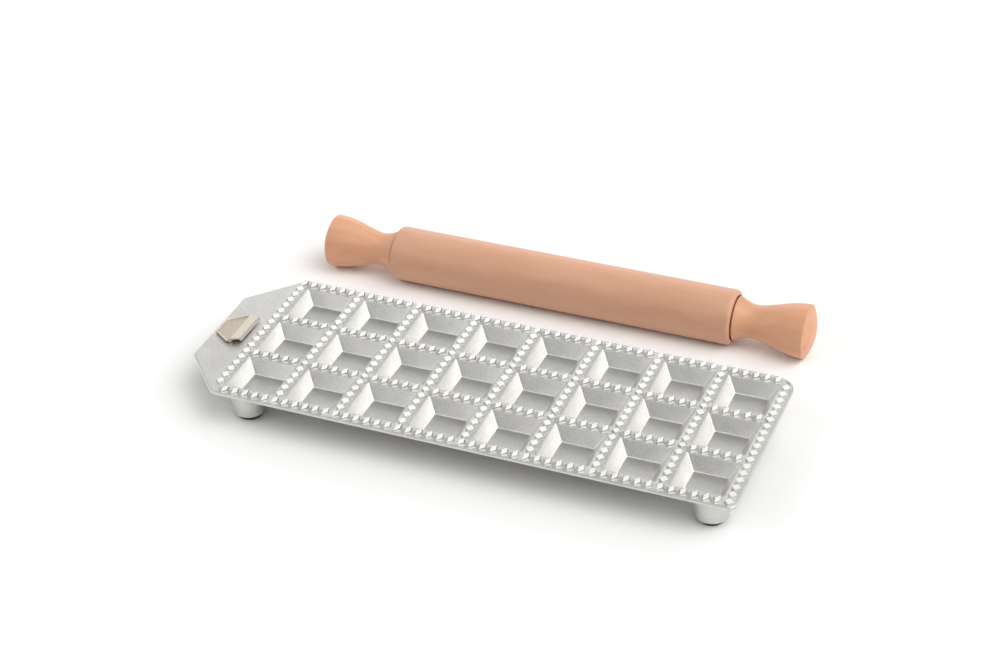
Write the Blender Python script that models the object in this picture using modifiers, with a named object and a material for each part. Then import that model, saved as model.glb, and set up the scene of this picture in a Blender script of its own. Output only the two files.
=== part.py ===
"""Ravioli mould with its rolling pin.

A cast mould tablet stands on four padded feet. Its 24 square pockets are divided by toothed
ridges, and a plain tab at its left end carries a small plaque. The rolling pin lies behind it:
a wooden barrel that turns on a steel rod between two turned handles.

Units are metres, +Z is up and +X runs along the tablet, away from the tab. The origin lies on
the table, in the middle of the whole set.
"""

import math

import bmesh
import bpy
from mathutils import Matrix, Vector

# Clearance between neighbouring pieces
GAP = 0.0003

# Mould tablet: the grid of pockets
PITCH = 0.035
COLUMNS = 8
ROWS = 3
OPENING_SIDE = 0.028
FLOOR_SIDE = 0.018
POCKET_DEPTH = 0.0073
SKIN = 0.0020
EDGE_MARGIN = 0.0037
MOULD_HEIGHT = 0.0233

# Mould tablet: the tab at its left end and the corners
TAB_LENGTH = 0.0260
TAB_END_WIDTH = 0.0580
TAB_BEVEL_START = 0.0010
TAB_CORNER_RADIUS = 0.0060
BACK_CORNER_RADIUS = 0.0100
FRONT_CORNER_RADIUS = 0.0040
TAB_TIP_RADIUS = 0.0010

# Teeth: diamonds on the cross ridges, slanted diamonds on the long ridges
STUDS_PER_PITCH = 6
STUD_HEIGHT = 0.0012
STUD_SINK = 0.0004
STUD_DRAFT = 0.0005
DIAMOND_HALF = 0.0023
CROSSING_HALF = 0.0019
SLANT_SIDE_X = 0.0016
SLANT_SIDE_Y = -0.0004
SLANT_TIP_X = 0.0006
SLANT_TIP_Y = 0.0028

# Feet and their rubber pads
FOOT_INSET = 0.0121
FOOT_TOP_RADIUS = 0.0108
FOOT_RADIUS = 0.0088
FOOT_EDGE = 0.0005
FOOT_CLEARANCE = 0.0030
PAD_RADIUS = 0.0065
PAD_EDGE = 0.0005
PLUG_LENGTH = 0.0050

# Plaque on the tab
PLAQUE_WIDTH = 0.0170
PLAQUE_LENGTH = 0.0250
PLAQUE_THICKNESS = 0.0013
PLAQUE_CUT_X = 0.0094
PLAQUE_CUT_Y = 0.0063
PLAQUE_SETBACK = 0.0018
PLAQUE_SHIFT = -0.0010
PLAQUE_RIM = 0.0010
PANEL_DEPTH = 0.0005
BAND_WIDTH = 0.0066
BAND_RISE = 0.0009
BAND_FLANK = 0.0009
PLAQUE_PIN_RADIUS = 0.0010
PLAQUE_PIN_SPACING = 0.0140
RETAINER_RADIUS = 0.0030
RETAINER_THICKNESS = 0.0006
PIN_STICK_OUT = 0.0006

# Rolling pin: where it lies
PIN_BEHIND_MOULD = 0.0388
PIN_SHIFT = -0.0074

# Rolling pin: barrel, bushes and rod
BARREL_LENGTH = 0.2024
BARREL_RADIUS = 0.0155
BARREL_EDGE = 0.0010
RECESS_RADIUS = 0.0137
RECESS_DEPTH = 0.0026
ROD_RADIUS = 0.0040
ROD_EDGE = 0.0005
BARREL_BORE_RADIUS = 0.0052
BUSH_RADIUS = 0.0075
BUSH_LENGTH = 0.0140
BUSH_FLANGE_RADIUS = 0.0105
BUSH_FLANGE = 0.0012

# Rolling pin: handles
HANDLE_LENGTH = 0.0447
HANDLE_DOME = 0.0039
HANDLE_END_RADIUS = 0.0151
HANDLE_NECK_RADIUS = 0.0093
HANDLE_FLANGE_RADIUS = 0.0119
HANDLE_NECK_START = 0.0110
HANDLE_FLARE_START = 0.0012
HANDLE_END_EDGE = 0.0003
HANDLE_SWELL = 1.5
SOCKET_DEPTH = 0.0300

# Facets of the round pieces
BARREL_STEPS = 56
HANDLE_STEPS = 44
BUSH_STEPS = 32
FOOT_STEPS = 32
SMALL_STEPS = 16

# Places worked out from the sizes above
GRID_X = COLUMNS * PITCH / 2
GRID_Y = ROWS * PITCH / 2
MOULD_LEFT = -GRID_X - TAB_LENGTH
MOULD_RIGHT = GRID_X + EDGE_MARGIN
MOULD_SIDE = GRID_Y + EDGE_MARGIN
PIN_Y = MOULD_SIDE + PIN_BEHIND_MOULD + BARREL_RADIUS
SET_MIDDLE = Vector(((MOULD_LEFT + MOULD_RIGHT) / 2, (PIN_Y + BARREL_RADIUS - MOULD_SIDE) / 2, 0))
MOULD_PLACE = -SET_MIDDLE
PIN_PLACE = Vector((PIN_SHIFT, PIN_Y, BARREL_RADIUS)) - SET_MIDDLE

LAND_Z = MOULD_HEIGHT - STUD_HEIGHT
SLAB_Z = LAND_Z - SKIN
FLOOR_Z = LAND_Z - POCKET_DEPTH
STUD_SPACING = PITCH / STUDS_PER_PITCH
FOOT_X = GRID_X - FOOT_INSET
FOOT_Y = GRID_Y - FOOT_INSET
PLAQUE_X = MOULD_LEFT + PLAQUE_SETBACK + PLAQUE_WIDTH / 2
PLAQUE_Z = LAND_Z + GAP

MOULD_NAME = "ravioli_mould"
SQUARE = math.sqrt(2)
# How far the middle of a rounded edge lies in from its corner, as a share of its radius
EDGE_MIDDLE = 1 - math.cos(math.pi / 4)


def new_collection(name):
    collection = bpy.data.collections.new(name)
    bpy.context.scene.collection.children.link(collection)
    return collection


def finish(name, colour, metallic, roughness):
    """A plain material: colour is linear red, green and blue."""
    material = bpy.data.materials.new(name)
    material.use_nodes = True
    shader = material.node_tree.nodes["Principled BSDF"]
    shader.inputs["Base Color"].default_value = (*colour, 1.0)
    shader.inputs["Metallic"].default_value = metallic
    shader.inputs["Roughness"].default_value = roughness
    material.diffuse_color = (*colour, 1.0)
    return material


def add_object(name, data, collection, material=None):
    piece = bpy.data.objects.new(name, data)
    collection.objects.link(piece)
    if material:
        data.materials.append(material)
    if collection is CUTTERS:
        piece.hide_render = True
        piece.display_type = "WIRE"
    return piece


def bake(piece):
    """Turn a curve, or a piece with modifiers, into one closed mesh with smooth round sides."""
    bpy.context.view_layer.update()
    evaluated = piece.evaluated_get(bpy.context.evaluated_depsgraph_get())
    mesh = bpy.data.meshes.new_from_object(evaluated)
    welded = bmesh.new()
    welded.from_mesh(mesh)
    bmesh.ops.remove_doubles(welded, verts=welded.verts, dist=0.00001)
    welded.to_mesh(mesh)
    welded.free()
    mesh.shade_smooth()
    mesh.set_sharp_from_angle(angle=math.radians(32))
    solid = bpy.data.objects.new(piece.name, mesh)
    solid.matrix_world = piece.matrix_world
    name = piece.name
    for collection in piece.users_collection:
        collection.objects.link(solid)
    solid.hide_render = piece.hide_render
    solid.display_type = piece.display_type
    bpy.data.objects.remove(piece)
    solid.name = name
    return solid


def combine(piece, other, operation):
    step = piece.modifiers.new(other.name, "BOOLEAN")
    step.operation = operation
    step.solver = "EXACT"
    step.object = other


def turned(name, profile, steps, collection, material=None, ring=False):
    """A turned piece about Z. The profile's (radius, height) points run down its outer side."""
    mesh = bpy.data.meshes.new(name)
    points = [(radius, 0.0, height) for radius, height in profile]
    edges = [(i, i + 1) for i in range(len(points) - 1)]
    if ring:
        edges.append((len(points) - 1, 0))
    mesh.from_pydata(points, edges, [])
    piece = add_object(name, mesh, collection, material)
    turn = piece.modifiers.new("turn", "SCREW")
    turn.axis = "Z"
    turn.angle = math.tau
    turn.steps = steps
    turn.render_steps = steps
    turn.use_merge_vertices = True
    turn.merge_threshold = 0.00001
    return bake(piece)


def rounded_outline(corners, segments=6):
    """Points of a closed outline with rounded corners.

    Each corner is (x, y, radius). They run anticlockwise and all of them bulge outwards.
    """
    points = []
    count = len(corners)
    for i, (x, y, radius) in enumerate(corners):
        corner = Vector((x, y))
        before = (Vector(corners[i - 1][:2]) - corner).normalized()
        after = (Vector(corners[(i + 1) % count][:2]) - corner).normalized()
        if radius == 0:
            points.append(corner)
            continue
        half = before.angle(after) / 2
        reach = radius / math.tan(half)
        centre = corner + (before + after).normalized() * radius / math.sin(half)
        start = corner + before * reach - centre
        sweep = math.pi - 2 * half
        for k in range(segments + 1):
            points.append(centre + Matrix.Rotation(sweep * k / segments, 2) @ start)
    return points


def flat_piece(name, outline, bottom, top, collection, material=None):
    """A flat piece with the outline's shape between two heights."""
    curve = bpy.data.curves.new(name, "CURVE")
    curve.dimensions = "2D"
    curve.fill_mode = "BOTH"
    curve.extrude = (top - bottom) / 2
    spline = curve.splines.new("POLY")
    spline.points.add(len(outline) - 1)
    for point, place in zip(spline.points, outline):
        point.co = (place.x, place.y, 0.0, 1.0)
    spline.use_cyclic_u = True
    piece = add_object(name, curve, collection, material)
    piece.location.z = (top + bottom) / 2
    return bake(piece)


def frustum(target, across, along, growth, bottom, top, place):
    """A four-sided frustum whose top corners are at place plus and minus across and along.

    Each bottom corner lies growth further out than the top one.
    """
    grown_across = across * (1 + growth / across.length)
    grown_along = along * (1 + growth / along.length)
    made = bmesh.ops.create_cone(target, cap_ends=True, segments=4, radius1=1, radius2=1, depth=1)
    for vert in made["verts"]:
        low = vert.co.z < 0
        a = grown_across if low else across
        b = grown_along if low else along
        corner = place + a * round(vert.co.x) + b * round(vert.co.y)
        vert.co = (corner.x, corner.y, bottom if low else top)


def mesh_piece(name, target, collection, material=None):
    mesh = bpy.data.meshes.new(name)
    bmesh.ops.recalc_face_normals(target, faces=target.faces)
    target.to_mesh(mesh)
    target.free()
    return add_object(name, mesh, collection, material)


def pocket_centres():
    for column in range(COLUMNS):
        for row in range(ROWS):
            yield Vector(((column + 0.5) * PITCH - GRID_X, (row + 0.5) * PITCH - GRID_Y))


def pocket_blocks(name, offset, bottom, top):
    """24 upturned pyramids without tips, as wide as the pockets plus an offset on each side."""
    slope = (OPENING_SIDE - FLOOR_SIDE) / 2 / POCKET_DEPTH
    top_half = OPENING_SIDE / 2 + offset + (top - LAND_Z) * slope
    bottom_half = OPENING_SIDE / 2 + offset + (bottom - LAND_Z) * slope
    blocks = bmesh.new()
    for centre in pocket_centres():
        corner = Vector((top_half, top_half))
        side = Vector((-top_half, top_half))
        growth = (bottom_half - top_half) * SQUARE
        frustum(blocks, corner, side, growth, bottom, top, centre)
    return mesh_piece(name, blocks, CUTTERS)


def stud_places():
    """Each tooth as (place, half diagonal towards its side, half diagonal towards its tip).

    The tablet has no tooth at its front left and its back right corner.
    """
    last_x = COLUMNS * STUDS_PER_PITCH
    last_y = ROWS * STUDS_PER_PITCH
    bare = {(0, 0), (last_x, last_y)}
    for i in range(last_x + 1):
        for j in range(last_y + 1):
            on_cross = i % STUDS_PER_PITCH == 0
            on_long = j % STUDS_PER_PITCH == 0
            if (i, j) in bare or not (on_cross or on_long):
                continue
            place = Vector((i * STUD_SPACING - GRID_X, j * STUD_SPACING - GRID_Y))
            inside = 0 < i < last_x and 0 < j < last_y
            if on_cross and on_long and inside:
                yield place, Vector((CROSSING_HALF, 0)), Vector((0, CROSSING_HALF))
            elif on_cross and 0 < j < last_y:
                yield place, Vector((DIAMOND_HALF, 0)), Vector((0, DIAMOND_HALF))
            else:
                side = Vector((SLANT_SIDE_X, SLANT_SIDE_Y))
                tip = Vector((SLANT_TIP_X, SLANT_TIP_Y))
                yield place, side, tip


def teeth(name):
    """Flat-topped pyramids along every ridge, their roots sunk into the land."""
    studs = bmesh.new()
    growth = STUD_DRAFT * (STUD_HEIGHT + STUD_SINK) / STUD_HEIGHT
    for place, side, tip in stud_places():
        frustum(studs, side, tip, growth, LAND_Z - STUD_SINK, MOULD_HEIGHT, place)
    return mesh_piece(name, studs, CUTTERS)


def foot_places():
    for x_name, x in (("left", -FOOT_X), ("right", FOOT_X)):
        for y_name, y in (("front", -FOOT_Y), ("back", FOOT_Y)):
            yield f"{y_name}_{x_name}", Vector((x, y, 0))


def copies_at(name, piece, places):
    """One mesh that holds a copy of the piece at each place, then the piece is removed."""
    joined = bmesh.new()
    for place in places:
        start = len(joined.verts)
        joined.from_mesh(piece.data)
        joined.verts.ensure_lookup_table()
        for vert in joined.verts[start:]:
            vert.co += place
    mesh = bpy.data.meshes.new(name)
    joined.to_mesh(mesh)
    joined.free()
    bpy.data.objects.remove(piece)
    return add_object(name, mesh, CUTTERS)


def plaque_pin_places():
    for side_name, side in (("front", -1), ("back", 1)):
        y = PLAQUE_SHIFT + side * PLAQUE_PIN_SPACING / 2
        yield side_name, Vector((PLAQUE_X, y, 0))


def mould_plate(material):
    """The casting: a thin slab with pockets, teeth and feet, all in one piece."""
    bevel_x = -GRID_X - TAB_BEVEL_START
    tab_side = TAB_END_WIDTH / 2
    outline = rounded_outline([
        (MOULD_LEFT, tab_side, TAB_TIP_RADIUS),
        (MOULD_LEFT, -tab_side, TAB_TIP_RADIUS),
        (bevel_x, -MOULD_SIDE, TAB_CORNER_RADIUS),
        (MOULD_RIGHT, -MOULD_SIDE, FRONT_CORNER_RADIUS),
        (MOULD_RIGHT, MOULD_SIDE, BACK_CORNER_RADIUS),
        (bevel_x, MOULD_SIDE, TAB_TIP_RADIUS),
    ])
    plate = flat_piece("mould_plate", outline, SLAB_Z, LAND_Z, PARTS, material)

    slope = (OPENING_SIDE - FLOOR_SIDE) / 2 / POCKET_DEPTH
    wall_offset = SKIN * math.sqrt(1 + slope * slope)
    slab_middle = (SLAB_Z + LAND_Z) / 2
    shells = pocket_blocks("pocket_shells", wall_offset, FLOOR_Z - SKIN, slab_middle)
    combine(plate, shells, "UNION")

    foot = turned("foot", [
        (0, slab_middle),
        (FOOT_TOP_RADIUS, slab_middle),
        (FOOT_RADIUS, FOOT_CLEARANCE + FOOT_EDGE),
        (FOOT_RADIUS - FOOT_EDGE, FOOT_CLEARANCE),
        (0, FOOT_CLEARANCE),
    ], FOOT_STEPS, CUTTERS)
    feet = copies_at("feet", foot, [place for _, place in foot_places()])
    combine(plate, feet, "UNION")

    cavities = pocket_blocks("pocket_cavities", 0, FLOOR_Z, LAND_Z + STUD_HEIGHT)
    combine(plate, cavities, "DIFFERENCE")
    combine(plate, teeth("teeth"), "UNION")

    socket_top = FOOT_CLEARANCE + PLUG_LENGTH + GAP
    socket = turned("socket", [
        (0, socket_top),
        (PAD_RADIUS + GAP, socket_top),
        (PAD_RADIUS + GAP, FOOT_CLEARANCE / 2),
        (0, FOOT_CLEARANCE / 2),
    ], FOOT_STEPS, CUTTERS)
    sockets = copies_at("sockets", socket, [place for _, place in foot_places()])
    combine(plate, sockets, "DIFFERENCE")

    hole = turned("hole", [
        (0, LAND_Z + SKIN),
        (PLAQUE_PIN_RADIUS + GAP, LAND_Z + SKIN),
        (PLAQUE_PIN_RADIUS + GAP, SLAB_Z - SKIN),
        (0, SLAB_Z - SKIN),
    ], SMALL_STEPS, CUTTERS)
    holes = copies_at("plaque_pin_holes", hole, [place for _, place in plaque_pin_places()])
    combine(plate, holes, "DIFFERENCE")

    plate.location += MOULD_PLACE
    for tool in (shells, feet, cavities, sockets, holes, bpy.data.objects["teeth"]):
        tool.location += MOULD_PLACE
    return plate


def foot_pads(material):
    """A rubber plug in each foot's socket, which stands out below the metal."""
    top = FOOT_CLEARANCE + PLUG_LENGTH
    for name, place in foot_places():
        pad = turned(f"foot_pad_{name}", [
            (0, top),
            (PAD_RADIUS - PAD_EDGE, top),
            (PAD_RADIUS, top - PAD_EDGE),
            (PAD_RADIUS, PAD_EDGE),
            (PAD_RADIUS - PAD_EDGE, 0),
            (0, 0),
        ], FOOT_STEPS, PARTS, material)
        pad.location = place + MOULD_PLACE


def drawn_in(points, inset):
    """An anticlockwise outline after every edge has moved inwards by the inset.

    A corner moves by the inset times (a + b) / (1 + a.b), where a and b are the inward normals
    of the two edges that meet in it.
    """
    moved = []
    for k, point in enumerate(points):
        into = (point - points[k - 1]).normalized()
        out = (points[(k + 1) % len(points)] - point).normalized()
        a = Vector((-into.y, into.x))
        b = Vector((-out.y, out.x))
        moved.append(point + inset * (a + b) / (1 + a.dot(b)))
    return moved


def plaque_outline(inset):
    """A rectangle whose two corners at the tab's end are cut off, drawn in by an inset."""
    x, y = PLAQUE_WIDTH / 2, PLAQUE_LENGTH / 2
    cut_x, cut_y = PLAQUE_CUT_X - x, y - PLAQUE_CUT_Y
    points = [(-x, cut_y), (-x, -cut_y), (cut_x, -y), (x, -y), (x, y), (cut_x, y)]
    return drawn_in([Vector(point) for point in points], inset)


def plaque(material):
    """A bare metal plaque: a rim round a sunk panel, a raised band, and two pins behind.

    The band's two long flanks lean in towards its top.
    """
    panel_z = PLAQUE_Z + PLAQUE_THICKNESS - PANEL_DEPTH
    top_z = PLAQUE_Z + PLAQUE_THICKNESS
    piece = flat_piece("plaque", plaque_outline(0), PLAQUE_Z, top_z, PARTS, material)

    panel = flat_piece("panel", plaque_outline(PLAQUE_RIM), panel_z, top_z + PANEL_DEPTH, CUTTERS)
    combine(piece, panel, "DIFFERENCE")

    blank = bmesh.new()
    bmesh.ops.create_cube(blank, size=1)
    band_size = (BAND_WIDTH, PLAQUE_LENGTH, PLAQUE_THICKNESS + BAND_RISE - GAP)
    band_x = (PLAQUE_WIDTH - BAND_WIDTH) / 2
    band_z = PLAQUE_Z + GAP + band_size[2] / 2
    bmesh.ops.transform(blank, matrix=Matrix.Diagonal((*band_size, 1)), verts=blank.verts)
    for vert in blank.verts:
        if vert.co.z > 0:
            vert.co.x -= math.copysign(BAND_FLANK, vert.co.x)
    bmesh.ops.translate(blank, vec=(band_x + GAP, 0, band_z), verts=blank.verts)
    band = mesh_piece("band", blank, CUTTERS)
    combine(piece, band, "UNION")

    stem = turned("plaque_stem", [
        (0, PLAQUE_Z + PLAQUE_THICKNESS / 4),
        (PLAQUE_PIN_RADIUS, PLAQUE_Z + PLAQUE_THICKNESS / 4),
        (PLAQUE_PIN_RADIUS, SLAB_Z - 2 * GAP - RETAINER_THICKNESS - PIN_STICK_OUT),
        (0, SLAB_Z - 2 * GAP - RETAINER_THICKNESS - PIN_STICK_OUT),
    ], SMALL_STEPS, CUTTERS)
    centre = Vector((PLAQUE_X, PLAQUE_SHIFT, 0))
    stems = copies_at("plaque_stems", stem, [place - centre for _, place in plaque_pin_places()])
    combine(piece, stems, "UNION")
    for tool in (piece, panel, band, stems):
        tool.location += MOULD_PLACE + centre


def plaque_retainers(material):
    """Push-on washers under the tab that grip the plaque's pins."""
    top = SLAB_Z - GAP
    hole = PLAQUE_PIN_RADIUS + GAP
    for name, place in plaque_pin_places():
        washer = turned(f"plaque_retainer_{name}", [
            (hole, top),
            (RETAINER_RADIUS, top),
            (RETAINER_RADIUS, top - RETAINER_THICKNESS / 2),
            (hole + GAP, top - RETAINER_THICKNESS),
            (hole, top - RETAINER_THICKNESS),
        ], SMALL_STEPS, PARTS, material, ring=True)
        washer.location = place + MOULD_PLACE


def along_pin(piece, side, reach, parent):
    """Lay a turned piece along the pin: its top faces outwards, reach away from the middle."""
    turn = Matrix.Rotation(side * math.pi / 2, 4, "Y")
    piece.parent = parent
    piece.matrix_world = Matrix.Translation(PIN_PLACE + Vector((side * reach, 0, 0))) @ turn


def barrel(material, parent):
    """The wooden roller, bored for the rod, with a seat for a bush and a recess at each end."""
    end = BARREL_LENGTH / 2
    floor = end - RECESS_DEPTH
    seat = floor - BUSH_LENGTH - GAP
    bush_bore = BUSH_RADIUS + GAP
    half = [
        (BARREL_BORE_RADIUS, seat),
        (bush_bore, seat),
        (bush_bore, floor),
        (RECESS_RADIUS, floor),
        (RECESS_RADIUS, end),
        (BARREL_RADIUS - BARREL_EDGE, end),
        (BARREL_RADIUS - EDGE_MIDDLE * BARREL_EDGE, end - EDGE_MIDDLE * BARREL_EDGE),
        (BARREL_RADIUS, end - BARREL_EDGE),
    ]
    profile = half + [(radius, -height) for radius, height in reversed(half)]
    piece = turned("barrel", profile, BARREL_STEPS, PARTS, material, ring=True)
    along_pin(piece, 1, 0, parent)


def axle_rod(material, parent):
    """The steel rod that joins the handles through the barrel."""
    inner_face = BARREL_LENGTH / 2 - RECESS_DEPTH + BUSH_FLANGE + 2 * GAP
    end = inner_face + SOCKET_DEPTH - GAP
    half = [(0, end), (ROD_RADIUS - ROD_EDGE, end), (ROD_RADIUS, end - ROD_EDGE)]
    profile = half + [(radius, -height) for radius, height in reversed(half)]
    piece = turned("axle_rod", profile, BUSH_STEPS, PARTS, material)
    along_pin(piece, 1, 0, parent)


def bush(name, side, material, parent):
    """A flanged nylon bush, its flange against the floor of the barrel's recess."""
    bore = ROD_RADIUS + GAP
    piece = turned(name, [
        (bore, GAP + BUSH_FLANGE),
        (BUSH_FLANGE_RADIUS, GAP + BUSH_FLANGE),
        (BUSH_FLANGE_RADIUS, GAP),
        (BUSH_RADIUS, GAP),
        (BUSH_RADIUS, -BUSH_LENGTH),
        (bore, -BUSH_LENGTH),
    ], BUSH_STEPS, PARTS, material, ring=True)
    along_pin(piece, side, BARREL_LENGTH / 2 - RECESS_DEPTH, parent)


def handle_side():
    """The handle's outer side from its dome to its flange, as (radius, height) points.

    The dome is part of a ball. The grip swells as a power of a sine from the neck to the dome,
    and the flange flares out of the neck along a quarter of a cosine.
    """
    dome_steps = 5
    grip_steps = 8
    flare_steps = 5
    dome_radius = HANDLE_END_RADIUS - HANDLE_END_EDGE
    dome_foot = HANDLE_LENGTH - HANDLE_DOME
    ball = (dome_radius ** 2 + HANDLE_DOME ** 2) / (2 * HANDLE_DOME)
    points = []
    for k in range(dome_steps + 1):
        radius = dome_radius * k / dome_steps
        points.append((radius, HANDLE_LENGTH - ball + math.sqrt(ball ** 2 - radius ** 2)))
    grip_end = dome_foot - HANDLE_END_EDGE
    for k in range(grip_steps):
        t = 1 - k / grip_steps
        swell = math.sin(t * math.pi / 2) ** HANDLE_SWELL
        radius = HANDLE_NECK_RADIUS + (HANDLE_END_RADIUS - HANDLE_NECK_RADIUS) * swell
        points.append((radius, HANDLE_NECK_START + (grip_end - HANDLE_NECK_START) * t))
    for k in range(flare_steps + 1):
        t = k / flare_steps
        flare = (HANDLE_FLANGE_RADIUS - HANDLE_NECK_RADIUS) * (1 - math.cos(t * math.pi / 2))
        height = HANDLE_NECK_START + (HANDLE_FLARE_START - HANDLE_NECK_START) * t
        points.append((HANDLE_NECK_RADIUS + flare, height))
    return points


def handle(name, side, material, parent):
    """A turned handle: flange, narrow neck, swelling grip and domed end, bored for the rod."""
    inner_face = BUSH_FLANGE + 2 * GAP - RECESS_DEPTH
    bore = ROD_RADIUS + GAP
    profile = handle_side() + [
        (HANDLE_FLANGE_RADIUS, inner_face),
        (bore, inner_face),
        (bore, inner_face + SOCKET_DEPTH),
        (0, inner_face + SOCKET_DEPTH),
    ]
    piece = turned(name, profile, HANDLE_STEPS, PARTS, material)
    along_pin(piece, side, BARREL_LENGTH / 2, parent)


def pivot(name, parent=None):
    """An empty on the pin's axis, which the pieces that move together hang on."""
    empty = bpy.data.objects.new(name, None)
    PARTS.objects.link(empty)
    empty.location = PIN_PLACE if parent is None else (0, 0, 0)
    empty.parent = parent
    bpy.context.view_layer.update()
    return empty


def main():
    aluminium = finish("cast_aluminium", (0.62, 0.61, 0.58), 0.9, 0.45)
    rubber = finish("black_rubber", (0.012, 0.012, 0.012), 0.0, 0.7)
    nickel = finish("satin_nickel", (0.55, 0.47, 0.36), 1.0, 0.35)
    spring_steel = finish("spring_steel", (0.45, 0.45, 0.46), 1.0, 0.35)
    barrel_beech = finish("barrel_beech", (0.60, 0.33, 0.22), 0.0, 0.5)
    handle_beech = finish("handle_beech", (0.62, 0.33, 0.19), 0.0, 0.5)
    rod_steel = finish("bright_steel", (0.6, 0.6, 0.6), 1.0, 0.25)
    nylon = finish("nylon", (0.75, 0.73, 0.66), 0.0, 0.45)

    mould_plate(aluminium)
    foot_pads(rubber)
    plaque(nickel)
    plaque_retainers(spring_steel)

    rolling_pin = pivot("rolling_pin")
    roller = pivot("roller", rolling_pin)
    barrel(barrel_beech, roller)
    bush("bush_left", -1, nylon, roller)
    bush("bush_right", 1, nylon, roller)
    axle_rod(rod_steel, rolling_pin)
    handle("handle_left", -1, handle_beech, rolling_pin)
    handle("handle_right", 1, handle_beech, rolling_pin)


for leftover in list(bpy.data.objects):
    bpy.data.objects.remove(leftover)
PARTS = new_collection(MOULD_NAME)
CUTTERS = new_collection("cutters")
main()
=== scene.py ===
"""The finished look of a ravioli mould and its rolling pin, laid round the packed model.

The file is laid out as an add-on and run as a script. Each operator makes one piece, or gives a
packed piece its finish, from sizes and colours that the sidebar panel shows. Units are metres.
"""

import math

import bmesh
import bpy
import numpy as np
from bpy.props import FloatProperty, FloatVectorProperty, IntProperty, PointerProperty
from bpy.types import Operator, Panel, PropertyGroup
from mathutils import Matrix, Vector


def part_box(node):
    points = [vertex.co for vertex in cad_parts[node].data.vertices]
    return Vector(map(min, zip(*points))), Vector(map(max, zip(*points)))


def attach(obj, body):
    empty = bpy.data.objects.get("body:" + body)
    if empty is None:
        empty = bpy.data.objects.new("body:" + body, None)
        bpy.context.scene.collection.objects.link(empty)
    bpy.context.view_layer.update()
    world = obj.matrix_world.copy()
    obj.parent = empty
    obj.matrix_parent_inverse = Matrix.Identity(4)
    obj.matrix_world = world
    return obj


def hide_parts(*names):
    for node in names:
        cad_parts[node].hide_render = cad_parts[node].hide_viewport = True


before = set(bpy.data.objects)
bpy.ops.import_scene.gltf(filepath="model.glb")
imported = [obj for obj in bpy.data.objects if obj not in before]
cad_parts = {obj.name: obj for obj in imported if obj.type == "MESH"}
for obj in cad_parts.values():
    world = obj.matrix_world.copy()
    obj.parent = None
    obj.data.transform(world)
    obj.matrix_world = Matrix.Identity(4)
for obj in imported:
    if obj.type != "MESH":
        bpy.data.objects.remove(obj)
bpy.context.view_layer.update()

bl_info = {
    "name": "Ravioli Mould and Rolling Pin",
    "version": (1, 0, 0),
    "blender": (4, 5, 0),
    "location": "3D Viewport > Sidebar > Ravioli Mould",
    "description": "Builds the finished surfaces of a ravioli mould and its rolling pin",
    "category": "Add Mesh",
}

MERGE_DISTANCE = 1e-7
SHARP_ANGLE = math.radians(32)
# Beside each rounding a ring lies this far off, so that the flat next to it is shaded flat
HOLD = 0.00006
# How deep a block that stands on a surface is sunk into it
SUNK = 0.0004
# How far short of the tablet's edge a tooth's root stops
ROOT_INSET = 0.0005
# Roundings of small turned and stamped edges
CRISP, FINE, EASED = 0.00015, 0.0002, 0.0003
# Places of the casting's two finishes among its materials
CAST, LAPPED = 0, 1


def box(node):
    """The lowest and highest corners of a packed node, as arrays."""
    return tuple(np.array(corner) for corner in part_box(node))


PLATE_LOW, PLATE_HIGH = box("mould_plate")
PLAQUE_LOW, PLAQUE_HIGH = box("plaque")
PAD_LOW, PAD_HIGH = box("foot_pad_front_left")
BARREL_LOW, BARREL_HIGH = box("barrel")
ROD_LOW, ROD_HIGH = box("axle_rod")
BUSH_LOW, BUSH_HIGH = box("bush_right")
HANDLE_LOW, HANDLE_HIGH = box("handle_right")
PIN_AXIS = (BARREL_LOW + BARREL_HIGH) / 2
PIN_AXIS[0] = 0


def linear(code):
    """A colour written as an sRGB hex code, as linear red, green and blue."""
    shares = np.array([int(code[i:i + 2], 16) for i in (0, 2, 4)]) / 255
    low = shares / 12.92
    high = ((shares + 0.055) / 1.055) ** 2.4
    return tuple(float(value) for value in np.where(shares <= 0.04045, low, high))


def length(name, description, default):
    return FloatProperty(name=name, description=description, default=default, min=0.0,
                         precision=5, subtype="DISTANCE", unit="LENGTH")


def colour(name, description, code):
    return FloatVectorProperty(name=name, description=description, default=linear(code),
                               min=0.0, max=1.0, subtype="COLOR")


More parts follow.
